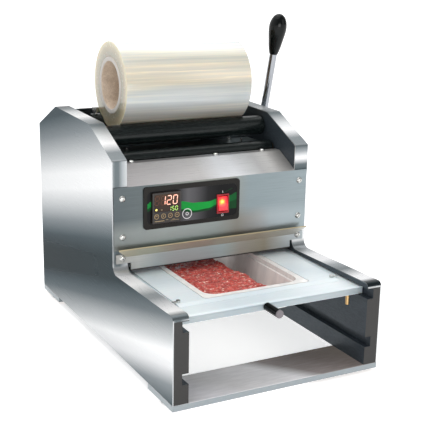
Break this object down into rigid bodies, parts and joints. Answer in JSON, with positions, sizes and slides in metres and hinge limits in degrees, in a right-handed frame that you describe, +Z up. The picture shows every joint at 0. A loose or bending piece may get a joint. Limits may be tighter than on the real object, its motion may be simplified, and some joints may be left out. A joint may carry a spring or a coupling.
{
  "type": "manual tray sealing machine",
  "caption": "Table-top hand-lever tray sealer: a sliding tray carrier, a heated press head, a film roll on rollers and a temperature controller.",
  "frame": {"origin": "centre of the overall bounding box, at floor level", "axes": "+Z up; +Y from the operator's side towards the back, along the carrier's travel; +X to the operator's right, where the lever is"},
  "size_m": [0.369, 0.5657, 0.5087],
  "materials": {
    "graphite": "satin dark anodised",
    "stainless_polished": "fine ground, near mirror",
    "stainless_satin": "satin",
    "zinc": "bright zinc",
    "black_enamel": "gloss",
    "black_plastic": "satin",
    "key_grey": "satin",
    "rocker_red": "gloss, lit",
    "gloss_black": "gloss",
    "rubber_black": "matt",
    "roller_black": "gloss black anodised",
    "chrome": "polished",
    "steel": "machined",
    "spring_steel": "drawn wire",
    "aluminium": "machined",
    "bronze": "machined",
    "brass": "turned",
    "insulation": "matt",
    "carrier_white": "satin",
    "silicone": "matt",
    "tray_clear": "clear, gloss",
    "meat": "moist",
    "cardboard": "matt",
    "film": "clear film on a roll",
    "grey_plastic": "satin"
  },
  "bodies": {
    "frame": {"apron": "stainless_satin", "base_plates": "stainless_satin", "bridge_plate": "aluminium", "cap_screws": "zinc", "control_plate": "black_enamel", "controller_body": "black_plastic", "deck_studs": "zinc", "film_guide_bars": "steel", "film_lip": "stainless_satin", "front_panel": "stainless_satin", "guide_bushes": "bronze", "hood": "stainless_satin", "panel_screws": "zinc", "power_inlet": "black_plastic", "rear_cover": "stainless_satin", "return_springs": "spring_steel", "rocker_frame": "black_plastic", "roller_bushes": "bronze", "rubber_feet": "rubber_black", "shaft_bearings": "bronze", "side_cover_left": "stainless_polished", "side_cover_right": "stainless_polished", "side_panel_left": "graphite", "side_panel_right": "graphite", "tie_bars": "steel", "top_deck": "stainless_satin"},
    "lever": {"cross_shaft": "steel", "pinions": "steel", "lever_hub": "steel", "lever_rod": "chrome", "lever_knob": "gloss_black"},
    "sealing_head": {"press_plate": "aluminium", "insulation_plate": "insulation", "heating_plate": "aluminium", "heater_cartridges": "steel", "cutting_frame": "steel", "guide_columns": "chrome", "gear_racks": "steel"},
    "carrier": {"carrier_frame": "carrier_white", "carrier_front_bar": "carrier_white", "tray_insert": "carrier_white", "tray_gasket": "silicone", "insert_clips": "zinc", "carrier_handle": "gloss_black", "handle_cap": "grey_plastic", "stop_pin": "brass", "food_tray": "tray_clear", "minced_meat": "meat"},
    "film_roll": {"film_core": "cardboard", "film_winding": "film"},
    "front_roller": {"support_roller_front": "roller_black"},
    "rear_roller": {"support_roller_rear": "roller_black", "roller_collars": "roller_black", "collar_bolts": "zinc"},
    "upper_roller": {"guide_roller_upper": "roller_black"},
    "rocker": {"rocker_button": "rocker_red"},
    "key_1": {"controller_key_1": "key_grey"},
    "key_2": {"controller_key_2": "key_grey"},
    "key_3": {"controller_key_3": "key_grey"},
    "key_4": {"controller_key_4": "key_grey"}
  },
  "joints": [
    {"name": "lever_turn", "type": "hinge", "parent": "frame", "child": "lever", "pos_m": [0.1695, 0.13125, 0.254], "axis": [1, 0, 0], "range_deg": [0, 91.5]},
    {"name": "head_slide", "type": "slide", "parent": "frame", "child": "sealing_head", "axis": [0, 0, -1], "range_m": [0, 0.024], "stiffness_N_per_m": 3500, "springref_m": -0.03, "deforming": ["return_springs"]},
    {"name": "carrier_slide", "type": "slide", "parent": "frame", "child": "carrier", "axis": [0, 1, 0], "range_m": [0, 0.2]},
    {"name": "film_roll_spin", "type": "hinge", "parent": "frame", "child": "film_roll", "pos_m": [-0.0145, 0.09555, 0.39908], "axis": [1, 0, 0], "continuous": true},
    {"name": "front_roller_spin", "type": "hinge", "parent": "frame", "child": "front_roller", "pos_m": [-0.0145, 0.05155, 0.326], "axis": [1, 0, 0], "continuous": true},
    {"name": "rear_roller_spin", "type": "hinge", "parent": "frame", "child": "rear_roller", "pos_m": [-0.0145, 0.13955, 0.326], "axis": [1, 0, 0], "continuous": true},
    {"name": "upper_roller_spin", "type": "hinge", "parent": "frame", "child": "upper_roller", "pos_m": [-0.0145, 0.01905, 0.294], "axis": [1, 0, 0], "continuous": true},
    {"name": "rocker_tilt", "type": "hinge", "parent": "frame", "child": "rocker", "pos_m": [-0.0015, -0.05745, 0.22825], "axis": [1, 0, 0], "range_deg": [0, 14]},
    {"name": "key_1_press", "type": "slide", "parent": "frame", "child": "key_1", "axis": [0, 1, 0], "range_m": [0, 0.0005], "stiffness_N_per_m": 300, "springref_m": -0.0003},
    {"name": "key_2_press", "type": "slide", "parent": "frame", "child": "key_2", "axis": [0, 1, 0], "range_m": [0, 0.0005], "stiffness_N_per_m": 300, "springref_m": -0.0003},
    {"name": "key_3_press", "type": "slide", "parent": "frame", "child": "key_3", "axis": [0, 1, 0], "range_m": [0, 0.0005], "stiffness_N_per_m": 300, "springref_m": -0.0003},
    {"name": "key_4_press", "type": "slide", "parent": "frame", "child": "key_4", "axis": [0, 1, 0], "range_m": [0, 0.0005], "stiffness_N_per_m": 300, "springref_m": -0.0003}
  ],
  "couplings": [
    {"joint": "head_slide", "follows": "lever_turn", "m_per_rad": 0.015},
    {"joint": "front_roller_spin", "follows": "film_roll_spin", "ratio": -4.3125},
    {"joint": "rear_roller_spin", "follows": "film_roll_spin", "ratio": -4.3125}
  ]
}
